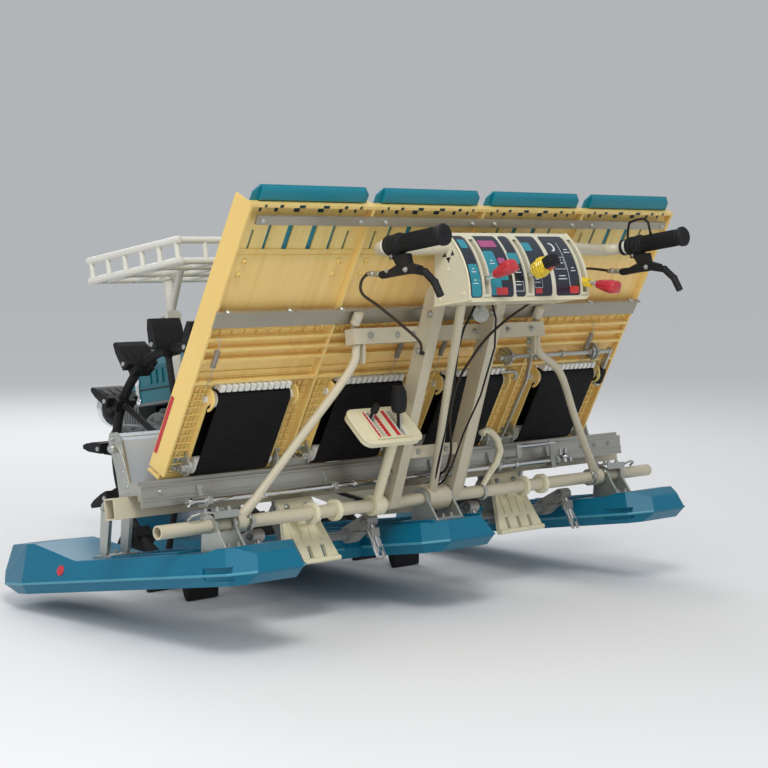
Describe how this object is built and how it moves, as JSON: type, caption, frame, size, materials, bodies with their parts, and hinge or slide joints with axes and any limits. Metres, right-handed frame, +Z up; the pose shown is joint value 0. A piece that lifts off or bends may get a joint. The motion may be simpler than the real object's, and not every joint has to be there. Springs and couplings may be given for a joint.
{
  "type": "walk-behind rice transplanter",
  "caption": "Walk-behind rice transplanter on two lugged wheels and three floats, with a sliding sloped seedling tray, planting arms, engine and handlebars.",
  "frame": {"origin": "middle of the machine's length and width, on the ground it is parked on", "axes": "+X forward, +Y to the machine's left, +Z up, with the machine in its parked nose-down stance"},
  "size_m": [1.4524, 1.452, 0.8462],
  "materials": {
    "cast_metal": "cast and painted grey",
    "engine_dark": "dark engine paint",
    "teal_paint": "gloss teal paint",
    "lamp_dark": "black shell with a clear front",
    "rack_white": "white coated tube",
    "wheel_rubber": "black rubber lugs on a dark wheel",
    "frame_paint": "beige gloss paint",
    "aluminium": "extruded aluminium",
    "galvanised": "bright plated steel",
    "cream_plastic": "cream moulding",
    "knob_red": "red knobs on plated stems",
    "grip_rubber": "black rubber",
    "arm_metal": "cast aluminium arm",
    "teal_plastic": "moulded teal plastic",
    "tray_plastic": "thin translucent cream moulding",
    "belt_rubber": "black ribbed belt",
    "white_plastic": "white nylon"
  },
  "bodies": {
    "chassis": {"transmission": "cast_metal", "engine_block": "engine_dark", "bonnet": "teal_paint", "headlamp": "lamp_dark", "seedling_rack": "rack_white", "lift_arm_left": "cast_metal", "lift_arm_right": "cast_metal", "lift_cylinder": "engine_dark", "frame_tube": "frame_paint", "cross_beam": "frame_paint", "slide_rail": "aluminium", "end_arms": "galvanised", "front_cover": "galvanised", "crossbar": "frame_paint", "braces": "frame_paint", "handle_posts": "frame_paint", "tray_support": "frame_paint", "control_box": "cream_plastic", "panel_levers": "knob_red", "handlebar_left": "frame_paint", "handlebar_right": "frame_paint", "grip_left": "grip_rubber", "grip_right": "grip_rubber", "clutch_levers": "grip_rubber", "cable_left": "grip_rubber", "cable_right": "grip_rubber", "lever_console": "cream_plastic", "console_levers": "grip_rubber", "control_rods": "frame_paint", "planting_case_left": "cast_metal", "planting_case_right": "cast_metal", "planting_arms": "arm_metal", "float_main": "teal_plastic", "float_left": "teal_plastic", "float_right": "teal_plastic", "float_links": "galvanised", "comb_left": "cream_plastic", "comb_right": "cream_plastic"},
    "wheel_left": {"wheel_left": "wheel_rubber"},
    "wheel_right": {"wheel_right": "wheel_rubber"},
    "seedling_tray": {"tray": "tray_plastic", "tray_extensions": "teal_plastic", "feed_belts": "belt_rubber", "belt_rollers": "white_plastic", "tray_bars": "galvanised", "feed_shaft": "galvanised"}
  },
  "joints": [
    {"name": "wheel_left_spin", "type": "hinge", "parent": "chassis", "child": "wheel_left", "pos_m": [0.07243, 0.3, 0.28947], "axis": [0, 1, 0], "continuous": true},
    {"name": "wheel_right_spin", "type": "hinge", "parent": "chassis", "child": "wheel_right", "pos_m": [0.07243, -0.3, 0.28947], "axis": [0, 1, 0], "continuous": true},
    {"name": "tray_traverse", "type": "slide", "parent": "chassis", "child": "seedling_tray", "axis": [0, 1, 0], "range_m": [-0.18, 0.11]}
  ]
}
